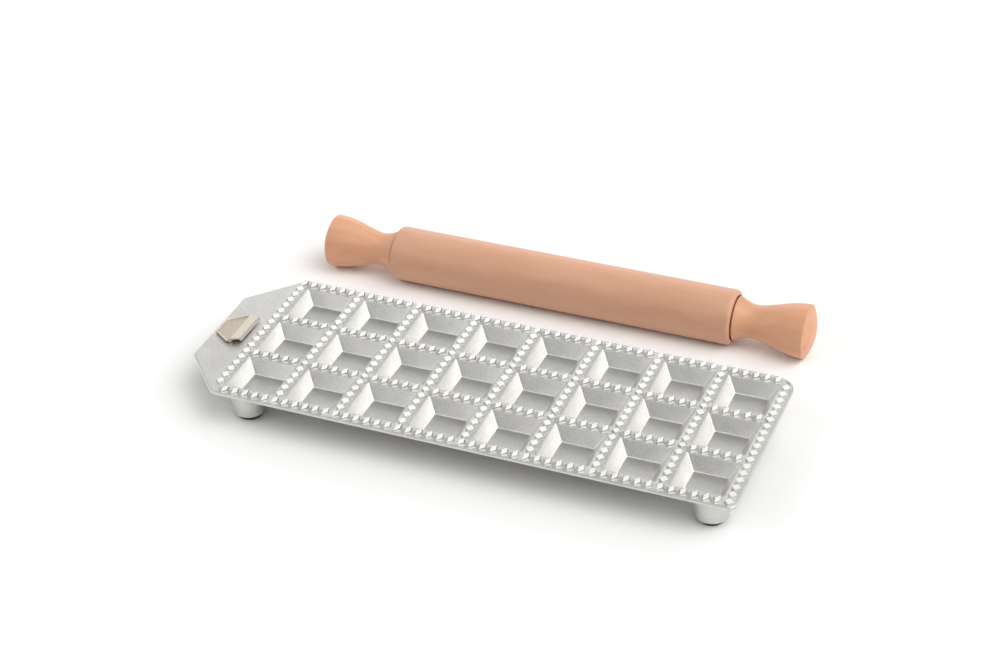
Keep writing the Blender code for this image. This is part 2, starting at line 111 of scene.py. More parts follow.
class TabletSizes(PropertyGroup):
    """Sizes of the cast tablet."""

    pitch: length("Pitch", "Distance between the middles of two pockets", 0.035)
    columns: IntProperty(name="Columns", description="Pockets along the tablet", default=8)
    rows: IntProperty(name="Rows", description="Pockets across the tablet", default=3)
    margin: length("Margin", "From the outer ridges to the tablet's edge", 0.0037)
    opening: length("Opening", "Width of a pocket at its top", 0.028)
    floor: length("Floor", "Width of a pocket at its bottom", 0.018)
    depth: length("Depth", "Depth of a pocket below the ridges", 0.0073)
    skin: length("Skin", "Thickness of the cast metal", 0.0020)
    side_lip: length("Side lip", "Rounding of a pocket's upper edge, left and right", 0.0025)
    end_lip: length("End lip", "Rounding of a pocket's upper edge, front and back", 0.0005)
    floor_round: length("Floor rounding", "Rounding between a pocket's walls and floor", 0.0010)
    corner_round: length("Corner rounding", "Rounding between two walls of a pocket", 0.0006)
    top_edge: length("Top edge", "Rounding of the tablet's upper outer edge", 0.0008)
    low_edge: length("Low edge", "Rounding of the tablet's lower outer edge", 0.0004)
    tab_width: length("Tab width", "Width of the tab's end", 0.0580)
    tab_start: length("Tab start", "From the last ridge to where the tab narrows", 0.0010)
    front_corner: length("Front corner", "Radius of the corner at the front right", 0.0040)
    back_corner: length("Back corner", "Radius of the corner at the back right", 0.0100)
    shoulder_corner: length("Shoulder", "Radius where the tab narrows at the front", 0.0060)
    tip_corner: length("Tip corner", "Radius of the tab's own corners", 0.0010)
    foot_inset: length("Foot inset", "From the outer ridges to the middle of a foot", 0.0121)
    foot_top: length("Foot top", "Radius of a foot under the tablet", 0.0108)
    foot_base: length("Foot base", "Radius of a foot near the table", 0.0088)
    foot_edge: length("Foot edge", "Rounding of a foot's lower edge", 0.0007)
    foot_fillet: length("Foot fillet", "Rounding between a foot and the tablet", 0.0022)
    pad_gap: length("Pad gap", "Gap round a rubber pad in its foot", 0.0003)


class TeethSizes(PropertyGroup):
    """Sizes of the teeth on the ridges."""

    per_pitch: IntProperty(name="Per pitch", description="Teeth along one pocket", default=6)
    height: length("Height", "Height of a tooth above the ridge", 0.0012)
    chamfer: length("Chamfer", "Worn edge round a tooth's top", 0.0001)
    draft: length("Draft", "How far an upright tooth widens to its root", 0.0005)
    diamond: length("Diamond", "Half the width of a tooth on a cross ridge", 0.0022)
    diamond_long: length("Diamond length", "Half its length along the ridge", 0.0024)
    crossing: length("Crossing", "Half the diagonal of a tooth where ridges cross", 0.0019)
    slant_side_x: length("Slanted side X", "Side corner of a slanted tooth, along", 0.00145)
    slant_side_y: length("Slanted side Y", "Side corner of a slanted tooth, to the front", 0.00045)
    slant_tip_x: length("Slanted tip X", "Tip of a slanted tooth, along", 0.0007)
    slant_tip_y: length("Slanted tip Y", "Tip of a slanted tooth, across", 0.0028)
    slant_steep: length("Steep draft", "Draft of a slanted tooth's long sides", 0.0003)
    slant_gentle: length("Gentle draft", "Draft of a slanted tooth's short sides", 0.0005)
    groove: length("Groove", "Narrowest groove between a tooth and a facet", 0.0004)
    border: length("Border", "From a ridge's middle to the edge of its facets", 0.0030)
    facet_high: length("High facet", "Height of the facets behind the slanted teeth", 0.0006)
    facet_low: length("Low facet", "Height to which the front facets fall", 0.00015)
    step: length("Step", "Height of the steps beside upright teeth", 0.00025)


class PlaqueSizes(PropertyGroup):
    """Sizes of the plaque on the tab."""

    thickness: length("Thickness", "From the plaque's back to its rim", 0.0013)
    cut_x: length("Cut along", "Length of its two cut corners, along the tablet", 0.0094)
    cut_y: length("Cut across", "Length of its two cut corners, across the tablet", 0.0063)
    soft: length("Soft corner", "Radius of its corners", 0.0003)
    rim: length("Rim", "Width of its rim", 0.0006)
    sink: length("Sink", "Depth of the panel below the rim", 0.0005)
    band: length("Band", "Width of the raised band", 0.0066)
    band_slant: length("Band slant", "How far the band's front end falls back", 0.0030)
    roof: length("Roof", "Thickness of the band's flat top", 0.0008)
    flank: length("Flank", "How far the band's flanks lean in", 0.0009)
    sheet: length("Sheet", "Thickness of the folded band", 0.0004)
    stem: length("Stem", "Radius of the pins behind it", 0.0010)
    stem_spacing: length("Stem spacing", "Distance between the pins behind it", 0.0140)


class PinSizes(PropertyGroup):
    """Sizes of the rolling pin."""

    barrel_edge: length("Barrel edge", "Rounding of the barrel's ends", 0.0022)
    recess_radius: length("Recess radius", "Radius of the recess in the barrel's ends", 0.0126)
    recess_depth: length("Recess depth", "Depth of the recess in the barrel's ends", 0.0026)
    clearance: length("Clearance", "Running gap between the pieces", 0.0003)
    bore: length("Bore", "Radius of the barrel's bore", 0.0052)
    bush_seat: length("Bush seat", "Radius of the bush's seat in the barrel", 0.0078)
    dome: length("Dome", "Height of a handle's domed end", 0.0039)
    neck_radius: length("Neck radius", "Smallest radius of a handle", 0.0093)
    flange_radius: length("Flange radius", "Radius of a handle where it meets the barrel", 0.0124)
    joint_gap: length("Joint gap", "From the barrel's end to a handle's flange", 0.0007)
    stub_radius: length("Stub radius", "Radius of a handle inside the barrel's recess", 0.0105)
    neck_start: length("Neck start", "From the barrel's end to the neck", 0.0110)
    flare_start: length("Flare start", "From the barrel's end to where the flange ends", 0.0012)
    end_edge: length("End edge", "Width of the edge round a handle's dome", 0.0003)
    socket: length("Socket", "Depth of the rod's hole in a handle", 0.0300)
    swell: FloatProperty(name="Swell", description="Power of the sine that a grip swells by",
                         default=1.5)
    around: IntProperty(name="Steps around", description="Facets round a turned piece",
                        default=144)


class FinishColours(PropertyGroup):
    """Colours of the finishes."""

    cast: colour("Cast aluminium", "Colour of the satin casting", "DCDBD7")
    cast_shade: colour("Cast shade", "Colour of its darker patches", "C9C8C4")
    lapped: colour("Lapped aluminium", "Colour of the ground tooth tops", "F8F8F4")
    rubber: colour("Rubber", "Colour of the foot pads", "1B1B1B")
    rubber_bloom: colour("Rubber bloom", "Colour of the rubber's faint bloom", "2C2B2A")
    nickel: colour("Nickel", "Colour of the plaque's high parts", "DAD2C5")
    nickel_deep: colour("Aged nickel", "Colour of the plaque's sunk parts", "CBC0B0")
    steel: colour("Steel", "Colour of the rod and the washers", "C6C6C4")
    steel_line: colour("Steel line", "Colour of the steel's draw lines", "B0B0AE")
    nylon: colour("Nylon", "Colour of the bushes", "E4E1D6")
    nylon_flow: colour("Nylon flow", "Colour of the nylon's flow marks", "D8D4C6")
    barrel: colour("Barrel beech", "Main colour of the barrel", "D2A083")
    barrel_dark: colour("Barrel growth", "Colour of the barrel's darker growth", "C69273")
    handle: colour("Handle beech", "Main colour of the handles", "D9A17E")
    handle_dark: colour("Handle growth", "Colour of the handles' darker growth", "C88D69")
    ray: colour("Ray", "Colour of the beech's short rays", "B98465")


class StageSettings(PropertyGroup):
    """Camera and light."""

    eye: FloatVectorProperty(name="Eye", description="Where the camera stands", size=3,
                             default=(0.3678, -0.8586, 0.6672), subtype="TRANSLATION")
    azimuth: FloatProperty(name="Azimuth", description="Camera's turn round the set",
                           default=math.radians(23.375), subtype="ANGLE")
    elevation: FloatProperty(name="Elevation", description="Camera's height as an angle",
                             default=math.radians(34.311), subtype="ANGLE")
    roll: FloatProperty(name="Roll", description="Camera's lean",
                        default=math.radians(-2.099), subtype="ANGLE")
    lens: FloatProperty(name="Lens", description="Focal length in millimetres",
                        default=76.403)
    level: FloatProperty(name="Level", description="Level of all the studio's lights together",
                         default=1.0)
    floor_reach: length("Floor reach", "From the middle of the paper sweep to its sides", 4.0)
    paper: colour("Paper", "Colour of the paper sweep", "F2F2F1")
    paper_fibre: colour("Paper fibre", "Colour of its paler fibres", "F6F6F5")


def rounded_path(corners, steps, closed=False, hold=0.0):
    """A path of straight stretches with round corners, as points.

    Each corner is (x, y, radius). Its arc touches both stretches: the centre lies on their
    bisector, radius / sin(half the angle between them) from the corner, on the side that the
    path turns to. With a hold, one more point lies that far along the stretches from each arc.
    """
    corners = np.array(corners, float)
    places = corners[:, :2]
    ahead = np.roll(places, -1, axis=0) - places
    ahead /= np.linalg.norm(ahead, axis=1, keepdims=True)
    after = np.stack([-ahead[:, 1], ahead[:, 0]], axis=1)
    before = np.roll(after, 1, axis=0)
    if not closed:
        before[0] = after[0]
        after[-1] = before[-1]
    bisector = before + after
    bisector /= np.linalg.norm(bisector, axis=1, keepdims=True)
    cross = before[:, 0] * after[:, 1] - before[:, 1] * after[:, 0]
    sweep = np.arctan2(cross, np.sum(before * after, axis=1))
    radius = np.sign(sweep) * corners[:, 2]
    centre = places + bisector * (radius / np.sum(bisector * after, axis=1))[:, None]
    start = np.arctan2(before[:, 1], before[:, 0])
    angle = start[:, None] + sweep[:, None] * np.linspace(0, 1, steps + 1)
    normals = np.stack([np.cos(angle), np.sin(angle)], axis=-1)
    points = centre[:, None] - normals * radius[:, None, None]
    if not hold:
        return points.reshape(-1, 2)
    arriving = points[:, :1] - hold * np.stack([before[:, 1], -before[:, 0]], axis=1)[:, None]
    leaving = points[:, -1:] + hold * ahead[:, None]
    points = np.concatenate([arriving, points, leaving], axis=1).reshape(-1, 2)
    return points if closed else points[1:-1]


def pushed_out(corners, reach):
    """An outline's corners after each edge has moved outwards by its reach.

    The corners go anticlockwise, and each edge starts at the corner with its number. A corner
    moves by m (a + b) / (1 + a.b) + d (b - a) / (1 - a.b), where a and b are the outward
    normals of the edges before and after it, and their reaches are m - d and m + d.
    """
    ahead = np.roll(corners, -1, axis=0) - corners
    after = np.stack([ahead[:, 1], -ahead[:, 0]], axis=1)
    after /= np.linalg.norm(after, axis=1, keepdims=True)
    before = np.roll(after, 1, axis=0)
    lean = np.sum(before * after, axis=1, keepdims=True)
    reach_after = np.broadcast_to(reach, len(corners))[:, None]
    reach_before = np.roll(reach_after, 1, axis=0)
    mean = (reach_after + reach_before) / 2
    difference = (reach_after - reach_before) / 2
    turn = np.maximum(1 - lean, MERGE_DISTANCE)
    return corners + mean * (before + after) / (1 + lean) + difference * (after - before) / turn


def outline_rings(border, profile, steps):
    """A border drawn in by the inset, at the height, of each (inset, height) point of a profile.

    The border has anticlockwise corners as (x, y, radius). An inset moves every edge inwards
    and is taken off each radius, so the rings stay parallel.
    """
    border = np.array(border, float)
    rings = []
    for inset, height in profile:
        places = pushed_out(border[:, :2], -inset)
        radii = np.maximum(border[:, 2] - inset, 0)
        flat = rounded_path(np.column_stack([places, radii]), steps, closed=True)
        rings.append(np.column_stack([flat, np.full(len(flat), height)]))
    return np.array(rings)


def grid_faces(rows, columns, wrap_rows=False):
    """Quads between the points of a grid whose last column meets its first."""
    i = np.arange(rows if wrap_rows else rows - 1)[:, None]
    j = np.arange(columns)[None, :]
    below = (i + 1) % rows
    beside = (j + 1) % columns
    corners = (i * columns + j, i * columns + beside, below * columns + beside,
               below * columns + j)
    return np.stack(corners, axis=-1).reshape(-1, 4)


def block(outline, rings, top_finish=CAST):
    """A tapered block, as points and (finish, faces) parts.

    A ring is (reach, height): the outline's anticlockwise corners, pushed out by the reach, at
    the height. Either is one number, or one for each edge or corner. Rings go from the root up.
    """
    sides = len(outline)
    points = [np.column_stack([pushed_out(outline, reach), np.broadcast_to(height, sides)])
              for reach, height in rings]
    root = np.arange(sides)[None, ::-1]
    top = np.arange(sides)[None] + (len(rings) - 1) * sides
    parts = ((CAST, grid_faces(len(rings), sides)), (CAST, root), (top_finish, top))
    return np.concatenate(points), parts


def copies(points, parts, places):
    """The points and their (finish, faces) parts, repeated at each place."""
    moved = points[None] + places[:, None]
    shift = np.arange(len(places))[:, None, None] * len(points)
    repeated = [(finish, (faces[None] + shift).reshape(-1, faces.shape[1]))
                for finish, faces in parts]
    return moved.reshape(-1, 3), repeated


def turned_grid(profile, steps):
    """A profile of (radius, height) points turned about Z, as a grid of points."""
    angle = np.linspace(0, math.tau, steps, endpoint=False)
    radius = profile[:, 0, None]
    height = np.broadcast_to(profile[:, 1, None], (len(profile), steps))
    return np.stack([radius * np.cos(angle), radius * np.sin(angle), height], axis=-1)


def new_object(name, data):
    """An object in the scene that shows the data."""
    shown = bpy.data.objects.new(name, data)
    bpy.context.scene.collection.objects.link(shown)
    return shown


class Patchwork:
    """Grids and blocks that are gathered into one piece."""

    def __init__(self):
        self.points = []
        self.faces = []
        self.finishes = []
        self.wear = []
        self.count = 0

    def add(self, points, parts, wear=0.0):
        """Take points in with their (finish, faces) parts.

        wear, one number or one for each point, is kept as an attribute. It
        holds real wear, or a painted highlight where a piece has one.
        """
        self.points.append(points)
        for finish, faces in parts:
            self.faces.extend((faces + self.count).tolist())
            self.finishes.extend([finish] * len(faces))
        self.wear.append(np.broadcast_to(wear, len(points)))
        self.count += len(points)

    def add_grid(self, grid, places=(0, 0, 0), wear=0.0, wrap_rows=False):
        """Take a grid in, in the first finish, at its place or at each of its places."""
        places = np.atleast_2d(places)
        faces = grid_faces(*grid.shape[:2], wrap_rows)
        wear = np.broadcast_to(wear, grid.shape[:2]).ravel()
        self.add(*copies(grid.reshape(-1, 3), [(0, faces)], places),
                 wear=np.tile(wear, len(places)))

    def make(self, name, body, materials, replaced):
        """Merge the grids' seams and poles, turn their faces outwards and add the piece."""
        mesh = bpy.data.meshes.new(name)
        mesh.from_pydata(np.concatenate(self.points), [], self.faces)
        for material in materials:
            mesh.materials.append(material)
        mesh.polygons.foreach_set("material_index", self.finishes)
        wear = mesh.attributes.new("wear", "FLOAT", "POINT")
        wear.data.foreach_set("value", np.concatenate(self.wear).astype(np.float32))
        merged = bmesh.new()
        merged.from_mesh(mesh)
        bmesh.ops.remove_doubles(merged, verts=merged.verts, dist=MERGE_DISTANCE)
        bmesh.ops.recalc_face_normals(merged, faces=merged.faces)
        merged.to_mesh(mesh)
        merged.free()
        mesh.shade_smooth()
        mesh.set_sharp_from_angle(angle=SHARP_ANGLE)
        piece = new_object(name, mesh)
        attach(piece, body)
        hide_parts(replaced)


# Sockets of a Mix node that blends colours: the two colours, and what comes out
FIRST, SECOND, BLEND = 6, 7, 2


def set_inputs(node, inputs):
    """Set a node's inputs. Each is a value, or another node's output to link to it."""
    for socket, value in inputs.items():
        if isinstance(value, bpy.types.NodeSocket):
            node.id_data.links.new(value, node.inputs[socket])
        else:
            node.inputs[socket].default_value = value


def add_node(tree, kind, inputs=None, output=0, **settings):
    """Add a shader node with its settings and inputs, and return one of its outputs."""
    node = tree.nodes.new("ShaderNode" + kind)
    for name, value in settings.items():
        setattr(node, name, value)
    set_inputs(node, inputs or {})
    return node.outputs[output]


def new_material(name):
    """A node material, with its tree, its Principled shader and its Object coordinates."""
    material = bpy.data.materials.new(name)
    material.use_nodes = True
    tree = material.node_tree
    place = add_node(tree, "TexCoord", output="Object")
    return material, tree, tree.nodes["Principled BSDF"], place


def opaque(value):
    return (*value, 1.0)


def along_x(mark_length, mark_width):
    """A pattern's scale on each axis, for marks that run along X."""
    return (1 / mark_length, 1 / mark_width, 1 / mark_width)


def cast_aluminium(colours):
    """Gravity-cast aluminium, tumbled to a satin grain.

    Fine pits give it a soft, grey sheen, mottled where the metal chilled. The
    wear attribute paints a highlight, in the lapped colour, along the foot
    of the pockets' walls. The grit is about 0.1 mm and is drawn at 0.7 mm to show.
    """
    material, tree, shader, place = new_material("cast_aluminium_satin")
    patch_width, grit_width = 0.012, 0.0007
    mottle = add_node(tree, "TexNoise", {
        "Vector": place, "Scale": 1 / patch_width, "Detail": 3.0, "Roughness": 0.6})
    grit = add_node(tree, "TexNoise", {
        "Vector": place, "Scale": 1 / grit_width, "Detail": 2.0, "Roughness": 0.6})
    wear = add_node(tree, "Attribute", output="Fac", attribute_name="wear")
    patches = add_node(tree, "MapRange", {
        "Value": mottle, "From Min": 0.35, "From Max": 0.65, "To Min": 0.3, "To Max": 0.75})
    specks = add_node(tree, "MapRange", {
        "Value": grit, "From Min": 0.3, "From Max": 0.7, "To Min": -0.55, "To Max": 0.55})
    shade = add_node(tree, "Math", {0: patches, 1: specks}, operation="ADD", use_clamp=True)
    tone = add_node(tree, "Mix", {
        "Factor": shade, FIRST: opaque(colours.cast_shade), SECOND: opaque(colours.cast)},
        BLEND, data_type="RGBA")
    # Painted highlight: the lapped colour is mixed in where the attribute is high, along the foot
    # of the pockets' walls
    rubbed_and_painted_highlight = add_node(tree, "Mix", {
        "Factor": wear, FIRST: tone, SECOND: opaque(colours.lapped)}, BLEND, data_type="RGBA")
    dull = add_node(tree, "MapRange", {
        "Value": grit, "From Min": 0.3, "From Max": 0.7, "To Min": 0.34, "To Max": 0.46})
    bump = add_node(tree, "Bump", {"Height": grit, "Strength": 0.55, "Distance": 0.00028})
    set_inputs(shader, {"Base Color": rubbed_and_painted_highlight, "Roughness": dull, "Normal": bump, "Metallic": 1.0})
    return material


def lapped_aluminium(colours):
    """Aluminium ground flat on a belt: the tooth tops, bright with fine scratches along X.

    The scratches are about 0.05 mm apart and are drawn at 0.2 mm to show.
    """
    material, tree, shader, place = new_material("aluminium_lapped")
    stretched = add_node(tree, "Mapping", {"Vector": place, "Scale": along_x(0.004, 0.0002)})
    scratches = add_node(tree, "TexNoise", {"Vector": stretched, "Scale": 1.0, "Detail": 2.0})
    streaks = add_node(tree, "MapRange", {"Value": scratches, "To Min": 0.75, "To Max": 1.0})
    tone = add_node(tree, "Mix", {
        "Factor": streaks, FIRST: opaque(colours.cast), SECOND: opaque(colours.lapped)},
        BLEND, data_type="RGBA")
    bump = add_node(tree, "Bump", {"Height": scratches, "Strength": 0.2, "Distance": 0.00003})
    set_inputs(shader, {"Base Color": tone, "Roughness": 0.3, "Normal": bump, "Metallic": 1.0})
    return material


def black_rubber(colours):
    """Moulded black rubber: matte, with a faint bloom and a fine mould grain of 0.3 mm."""
    material, tree, shader, place = new_material("rubber_moulded")
    grain_width, bloom_width = 0.0003, 0.004
    grain = add_node(tree, "TexNoise", {"Vector": place, "Scale": 1 / grain_width, "Detail": 3.0})
    bloom = add_node(tree, "TexNoise", {"Vector": place, "Scale": 1 / bloom_width, "Detail": 2.0})
    tone = add_node(tree, "Mix", {
        "Factor": bloom, FIRST: opaque(colours.rubber), SECOND: opaque(colours.rubber_bloom)},
        BLEND, data_type="RGBA")
    dull = add_node(tree, "MapRange", {"Value": bloom, "To Min": 0.55, "To Max": 0.75})
    bump = add_node(tree, "Bump", {"Height": grain, "Strength": 0.3, "Distance": 0.00005})
    set_inputs(shader, {"Base Color": tone, "Roughness": dull, "Normal": bump})
    return material


def aged_nickel(colours):
    """Nickel-plated zinc, stamped and aged: warm high parts over browner, duller hollows.

    The wear attribute is high on the rim and the band, where it is real
    wear. Tarnish gathers in 1.5 mm clouds.
    """
    material, tree, shader, place = new_material("nickel_aged")
    cloud_width, grain_width = 0.0015, 0.0002
    clouds = add_node(tree, "TexNoise", {"Vector": place, "Scale": 1 / cloud_width, "Detail": 4.0})
    grain = add_node(tree, "TexNoise", {"Vector": place, "Scale": 1 / grain_width, "Detail": 2.0})
    wear = add_node(tree, "Attribute", output="Fac", attribute_name="wear")
    spread = add_node(tree, "MapRange", {
        "Value": clouds, "From Min": 0.35, "From Max": 0.65, "To Min": -0.2, "To Max": 0.3})
    rubbed_and_painted_highlight = add_node(tree, "Math", {0: wear, 1: spread}, operation="ADD", use_clamp=True)
    tone = add_node(tree, "Mix", {
        "Factor": rubbed_and_painted_highlight, FIRST: opaque(colours.nickel_deep), SECOND: opaque(colours.nickel)},
        BLEND, data_type="RGBA")
    dull = add_node(tree, "MapRange", {"Value": rubbed_and_painted_highlight, "To Min": 0.46, "To Max": 0.32})
    bump = add_node(tree, "Bump", {"Height": grain, "Strength": 0.2, "Distance": 0.00003})
    set_inputs(shader, {"Base Color": tone, "Roughness": dull, "Normal": bump, "Metallic": 1.0})
    return material


def drawn_steel(colours):
    """Bright drawn steel: long faint draw lines along X, 0.2 mm apart."""
    material, tree, shader, place = new_material("steel_drawn")
    stretched = add_node(tree, "Mapping", {"Vector": place, "Scale": along_x(0.02, 0.0002)})
    lines = add_node(tree, "TexNoise", {"Vector": stretched, "Scale": 1.0, "Detail": 3.0})
    tone = add_node(tree, "Mix", {
        "Factor": lines, FIRST: opaque(colours.steel_line), SECOND: opaque(colours.steel)},
        BLEND, data_type="RGBA")
    dull = add_node(tree, "MapRange", {"Value": lines, "To Min": 0.22, "To Max": 0.38})
    bump = add_node(tree, "Bump", {"Height": lines, "Strength": 0.2, "Distance": 0.00002})
    set_inputs(shader, {"Base Color": tone, "Roughness": dull, "Normal": bump, "Metallic": 1.0})
    return material


def moulded_nylon(colours):
    """Injection-moulded natural nylon: milky, a little waxy, with flow marks 3 mm wide."""
    material, tree, shader, place = new_material("nylon_moulded")
    flow_width = 0.003
    flow = add_node(tree, "TexNoise", {"Vector": place, "Scale": 1 / flow_width, "Detail": 3.0})
    tone = add_node(tree, "Mix", {
        "Factor": flow, FIRST: opaque(colours.nylon_flow), SECOND: opaque(colours.nylon)},
        BLEND, data_type="RGBA")
    dull = add_node(tree, "MapRange", {"Value": flow, "To Min": 0.38, "To Max": 0.5})
    bump = add_node(tree, "Bump", {"Height": flow, "Strength": 0.1, "Distance": 0.0001})
    set_inputs(shader, {"Base Color": tone, "Roughness": dull, "Normal": bump, "IOR": 1.53})
    return material


def turned_beech(name, base, dark, ray, growth_width):
    """Steamed beech, turned and finely sanded, its grain along X.

    Soft growth bands run along it, short dark rays 2.5 mm long and 0.35 mm wide fleck it, and
    fine pores dull its sheen. The pores are about 0.06 mm and are drawn at 0.25 mm.
    """
    material, tree, shader, place = new_material(name)
    lean = math.radians(2.0)
    growth_place = add_node(tree, "Mapping", {
        "Vector": place, "Rotation": (0.0, 0.0, lean), "Scale": along_x(0.035, growth_width)})
    growth = add_node(tree, "TexNoise", {
        "Vector": growth_place, "Scale": 1.0, "Detail": 2.0, "Distortion": 0.3})
    banded = add_node(tree, "MapRange", {
        "Value": growth, "From Min": 0.38, "From Max": 0.66, "To Max": 0.4},
        interpolation_type="SMOOTHSTEP")
    grown = add_node(tree, "Mix", {
        "Factor": banded, FIRST: opaque(base), SECOND: opaque(dark)}, BLEND, data_type="RGBA")
    ray_place = add_node(tree, "Mapping", {"Vector": place, "Scale": along_x(0.0025, 0.00035)})
    rays = add_node(tree, "TexNoise", {"Vector": ray_place, "Scale": 1.0, "Detail": 2.0})
    flecks = add_node(tree, "MapRange", {
        "Value": rays, "From Min": 0.60, "From Max": 0.78, "To Max": 0.35})
    tone = add_node(tree, "Mix", {
        "Factor": flecks, FIRST: grown, SECOND: opaque(ray)}, BLEND, data_type="RGBA")
    pore_place = add_node(tree, "Mapping", {"Vector": place, "Scale": along_x(0.004, 0.00025)})
    pores = add_node(tree, "TexNoise", {"Vector": pore_place, "Scale": 1.0, "Detail": 3.0})
    dull = add_node(tree, "MapRange", {"Value": pores, "To Min": 0.38, "To Max": 0.56})
    bump = add_node(tree, "Bump", {"Height": pores, "Strength": 0.12, "Distance": 0.00006})
    set_inputs(shader, {"Base Color": tone, "Roughness": dull, "Normal": bump, "IOR": 1.5})
    return material


def repaint(node, material):
    """Give a packed node, whose shape stays as it is, its finish."""
    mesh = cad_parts[node].data
    mesh.materials.clear()
    mesh.materials.append(material)


class Tablet:
    """Places on the tablet, worked out from the packed plate and the driving sizes."""

    def __init__(self, sizes, teeth):
        self.sizes = sizes
        self.teeth = teeth
        self.half_x = sizes.columns * sizes.pitch / 2
        self.half_y = sizes.rows * sizes.pitch / 2
        self.middle = np.array([PLATE_HIGH[0] - sizes.margin - self.half_x,
                                (PLATE_LOW[1] + PLATE_HIGH[1]) / 2, 0.0])
        self.top = PLATE_HIGH[2]
        self.land = self.top - teeth.height
        self.under = self.land - sizes.skin
        self.pocket_floor = self.land - sizes.depth
        self.slope = (sizes.opening - sizes.floor) / 2 / sizes.depth

    def pocket_places(self):
        across = (np.arange(self.sizes.columns) + 0.5) * self.sizes.pitch - self.half_x
        along = (np.arange(self.sizes.rows) + 0.5) * self.sizes.pitch - self.half_y
        x, y = np.meshgrid(across, along, indexing="ij")
        return np.stack([x.ravel(), y.ravel(), np.zeros(x.size)], axis=-1) + self.middle

    def foot_places(self):
        x = self.half_x - self.sizes.foot_inset
        y = self.half_y - self.sizes.foot_inset
        return np.array([(-x, -y, 0), (x, -y, 0), (x, y, 0), (-x, y, 0)]) + self.middle

    def shell_half(self, height):
        """Half the width of a pocket's outer shell at a height."""
        offset = self.sizes.skin * math.sqrt(1 + self.slope ** 2)
        return self.sizes.opening / 2 + offset + (height - self.land) * self.slope

    def underside(self, from_pocket):
        """Height of the casting's underside, by the place's offset from its pocket."""
        away = np.max(np.abs(from_pocket), axis=-1)
        low = self.pocket_floor - self.sizes.skin
        rise = (away - self.shell_half(low)) / self.slope
        return np.clip(low + rise, low, self.under)


def rectangle_rings(half_x, half_y, radius, height, steps):
    """Rings of rounded rectangles: half widths, corner radius and height, ring by ring.

    A corner is a quarter circle, its centre at half width - radius from both middle lines.
    """
    sides = np.array([(1, 1), (-1, 1), (-1, -1), (1, -1)], float)
    share = np.linspace(0, 1, steps + 1)
    angle = (np.arange(4)[:, None] + share) * math.pi / 2
    round_part = np.stack([np.cos(angle), np.sin(angle)], axis=-1).reshape(-1, 2)
    square_part = np.repeat(sides, steps + 1, axis=0)
    half = np.stack([half_x, half_y], axis=-1)[:, None]
    radius = radius[:, None, None]
    flat = (half - radius) * square_part + radius * round_part
    level = np.broadcast_to(height[:, None, None], flat.shape[:2] + (1,))
    return np.concatenate([flat, level], axis=-1)


def wall_reach(sizes, depth, lip):
    """Half the width of a pocket at each depth, between two walls whose upper edge is round.

    The wall falls in a straight line at an angle t to the level. An arc of the lip's radius r
    joins it to the land, from r tan(t / 2) outside the opening, and an arc of the floor's
    rounding joins it to the floor in the same way. At a height h from its level end an arc has
    come sqrt(r^2 - (r - h)^2) nearer to the wall.
    """
    run = (sizes.opening - sizes.floor) / 2
    angle = math.atan2(sizes.depth, run)
    foot = sizes.floor_round
    up = sizes.depth - depth
    reach = sizes.opening / 2 - run * depth / sizes.depth
    lip_start = sizes.opening / 2 + lip * math.tan(angle / 2)
    foot_start = sizes.floor / 2 - foot * math.tan(angle / 2)
    on_lip = depth < lip * (1 - math.cos(angle))
    on_foot = up < foot * (1 - math.cos(angle))
    reach[on_lip] = lip_start - np.sqrt(lip ** 2 - (lip - depth[on_lip]) ** 2)
    reach[on_foot] = foot_start + np.sqrt(foot ** 2 - (foot - up[on_foot]) ** 2)
    return reach


def pocket_cells(work, tablet):
    """Each pocket with the land round it, and its shell below.

    A pocket is a stack of rounded rectangles, from the cell's border over the lips, which are
    rounder at the sides than at the ends, down the walls and to the middle of the floor. A thin
    painted highlight runs along the lower end of each wall, where its rounding meets the floor.
    """
    sizes = tablet.sizes
    corner_steps, arc_points = 4, 6
    # brightest is the strength of the painted highlight at the foot of each wall
    brightest = 0.6
    cell = sizes.pitch / 2
    arc = 1 - np.cos(np.linspace(0, math.atan(1 / tablet.slope), arc_points))
    foot = sizes.floor_round * arc
    lips = [sizes.side_lip * arc, sizes.end_lip * arc]
    holds = [lips[0][-1] + HOLD, lips[1][-1] + HOLD, sizes.depth - foot[-1] - HOLD]
    depth = np.unique(np.concatenate([*lips, sizes.depth - foot, holds]))
    half_x = wall_reach(sizes, depth, sizes.side_lip)
    half_y = wall_reach(sizes, depth, sizes.end_lip)
    # Painted highlight: a thin line along the foot of each wall, brightest halfway round the
    # floor's rounding
    up_share = (sizes.depth - depth) / foot[-1]
    gleam = np.clip(4 * brightest * up_share * (1 - up_share), 0, 1)
    gleam = np.concatenate([(0, 0), gleam, (0, 0)])
    half_x, half_y = (np.concatenate([(cell, half[0] + HOLD), half, (half[-1] - HOLD, 0)])
                      for half in (half_x, half_y))
    height = tablet.land - np.concatenate([(0, 0), depth, (sizes.depth, sizes.depth)])
    radius = np.full(len(height), sizes.corner_round)
    radius[[0, -1]] = 0
    inside = rectangle_rings(half_x, half_y, radius, height, corner_steps)
    low = tablet.pocket_floor - sizes.skin
    shell_top = tablet.shell_half(tablet.under)
    shell_low = tablet.shell_half(low)
    path = rounded_path([
        (cell, tablet.under, 0),
        (shell_top, tablet.under, sizes.floor_round),
        (shell_low, low, sizes.floor_round),
        (0, low, 0),
    ], corner_steps, hold=HOLD)
    shell_round = 3 * sizes.corner_round
    radius = np.minimum((path[:, 0] < cell - MERGE_DISTANCE) * shell_round, path[:, 0])
    shell = rectangle_rings(path[:, 0], path[:, 0], radius, path[:, 1], corner_steps)
    places = tablet.pocket_places()
    work.add_grid(inside, places, wear=gleam[:, None])
    work.add_grid(shell, places)


